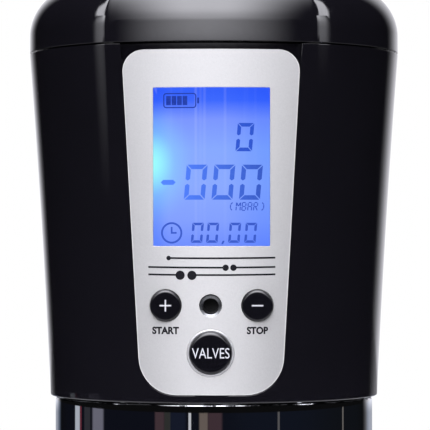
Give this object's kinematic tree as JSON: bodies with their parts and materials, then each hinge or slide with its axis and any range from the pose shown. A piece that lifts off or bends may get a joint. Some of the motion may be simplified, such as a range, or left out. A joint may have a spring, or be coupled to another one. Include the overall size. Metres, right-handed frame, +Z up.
{
  "type": "vacuum pump head",
  "caption": "Battery-driven digital vacuum pump head: tapered round housing, domed cap, face plate with lit display and push buttons, charge socket and chrome suction collar.",
  "frame": {"origin": "centre of the collar's lower rim, on the housing's axis", "axes": "+Z up the housing axis towards the cap, -Y out of the face plate, +X to the right of someone facing the display"},
  "size_m": [0.082, 0.0768, 0.1135],
  "materials": {
    "gloss_black": "high-gloss moulded black",
    "button_black": "gloss black button caps",
    "silver_plate": "satin silver with printed lines",
    "bright_trim": "polished",
    "chrome": "mirror",
    "socket_metal": "plated",
    "lens": "clear window",
    "display_cell": "back-lit segment display",
    "diffuser": "lit diffuser",
    "rubber": "matt",
    "silicone": "translucent",
    "inner_plastic": "moulded",
    "white_plastic": "moulded",
    "steel": "plated",
    "copper": "enamelled winding",
    "board": "solder mask",
    "cell": "sleeved cell",
    "sintered": "sintered"
  },
  "bodies": {
    "pump_head": {"air_manifold": "white_plastic", "battery_base": "inner_plastic", "battery_cell_1": "cell", "battery_cell_2": "cell", "battery_top": "inner_plastic", "board_screw_1": "steel", "board_screw_2": "steel", "board_screw_3": "steel", "board_screw_4": "steel", "cap_seal": "rubber", "charge_socket_body": "inner_plastic", "charge_socket_sleeve": "socket_metal", "collar_screw_1": "steel", "collar_screw_2": "steel", "collar_screw_3": "steel", "control_board": "board", "diaphragm": "rubber", "display_backlight": "diffuser", "display_frame": "inner_plastic", "display_glass": "display_cell", "display_lens": "lens", "face_plate": "silver_plate", "inlet_filter": "sintered", "main_shell": "gloss_black", "motor_can": "steel", "motor_cradle": "inner_plastic", "motor_end_cap": "inner_plastic", "pressure_sensor": "white_plastic", "pump_cover": "inner_plastic", "pump_hose": "silicone", "pump_housing": "inner_plastic", "release_valve_coil": "copper", "release_valve_foot": "white_plastic", "release_valve_frame": "steel", "release_valve_nozzle": "white_plastic", "release_valve_spring": "steel", "sensor_hose": "silicone", "start_switch": "inner_plastic", "stop_switch": "inner_plastic", "suction_collar": "chrome", "top_cap": "gloss_black", "valve_button_ring": "bright_trim", "valve_hose": "silicone", "valve_plate": "white_plastic", "valve_switch": "inner_plastic", "vessel_gasket": "rubber"},
    "start_key": {"start_button": "button_black", "start_switch_stem": "white_plastic"},
    "stop_key": {"stop_button": "button_black", "stop_switch_stem": "white_plastic"},
    "valve_key": {"valve_button": "button_black", "valve_switch_stem": "white_plastic"},
    "pump_shaft": {"motor_rotor": "copper", "motor_shaft": "steel", "drive_eccentric": "inner_plastic"},
    "pump_wobble": {"wobble_plate": "white_plastic"},
    "release_plunger": {"release_valve_plunger": "steel"}
  },
  "joints": [
    {"name": "start_press", "type": "slide", "parent": "pump_head", "child": "start_key", "axis": [0, 0.9996, 0.0279], "range_m": [0, 0.0005], "stiffness_N_per_m": 400},
    {"name": "stop_press", "type": "slide", "parent": "pump_head", "child": "stop_key", "axis": [0, 0.9996, 0.0279], "range_m": [0, 0.0005], "stiffness_N_per_m": 400},
    {"name": "valve_press", "type": "slide", "parent": "pump_head", "child": "valve_key", "axis": [0, 0.9996, 0.0279], "range_m": [0, 0.0005], "stiffness_N_per_m": 400},
    {"name": "shaft_spin", "type": "hinge", "parent": "pump_head", "child": "pump_shaft", "pos_m": [-0.008, 0.007, 0.05], "axis": [0, 0, 1], "continuous": true},
    {"name": "wobble_turn", "type": "hinge", "parent": "pump_shaft", "child": "pump_wobble", "pos_m": [-0.008, 0.007, 0.076], "axis": [0, -0.1045, 0.9945], "continuous": true},
    {"name": "release_slide", "type": "slide", "parent": "pump_head", "child": "release_plunger", "axis": [0, 0, -1], "range_m": [0, 0.0012], "stiffness_N_per_m": 250, "deforming": ["release_valve_spring"]}
  ],
  "couplings": [
    {"joint": "wobble_turn", "follows": "shaft_spin", "ratio": -1}
  ]
}
